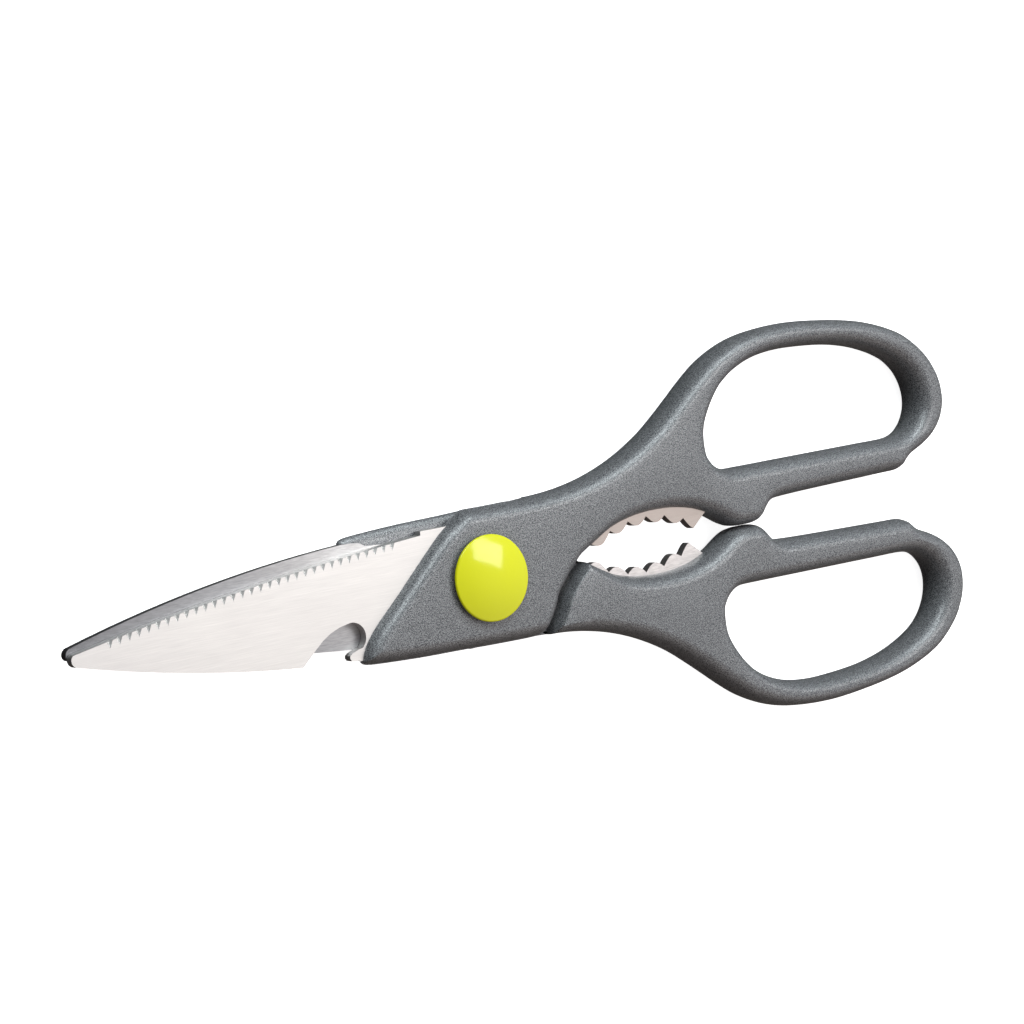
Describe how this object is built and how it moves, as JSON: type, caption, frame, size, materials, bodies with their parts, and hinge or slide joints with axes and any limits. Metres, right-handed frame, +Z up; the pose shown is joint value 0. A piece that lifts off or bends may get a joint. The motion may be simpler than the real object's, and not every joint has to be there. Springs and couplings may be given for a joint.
{
  "type": "poultry shears",
  "caption": "Poultry shears with serrated steel blades, a bottle opener notch, a toothed cracking jaw and two moulded finger loops on a capped pivot.",
  "frame": {"origin": "on the pivot axis, in the plane of the back faces that the closed shears lie on", "axes": "+X from the blade tips to the finger loops, +Y towards the loop of the front half, +Z up along the pivot axis, out of the front cap"},
  "size_m": [0.2145, 0.0816, 0.012],
  "materials": {
    "blade_steel": "fine lengthwise brushing",
    "inner_steel": "ground inner face",
    "grip_plastic": "satin, fine metallic flake",
    "cap_plastic": "gloss lime",
    "pivot_steel": "turned and zinc plated"
  },
  "bodies": {
    "rear_half": {"rear_blade": "inner_steel", "rear_handle": "grip_plastic", "pivot_screw": "pivot_steel", "pivot_nut": "pivot_steel", "thrust_washer": "pivot_steel", "spring_washer": "pivot_steel", "rear_cap": "cap_plastic"},
    "front_half": {"front_blade": "blade_steel", "front_handle": "grip_plastic", "front_cap": "cap_plastic"}
  },
  "joints": [
    {"name": "pivot", "type": "hinge", "parent": "rear_half", "child": "front_half", "pos_m": [0, 0, 0.0046], "axis": [0, 0, 1], "range_deg": [0, 80]}
  ]
}
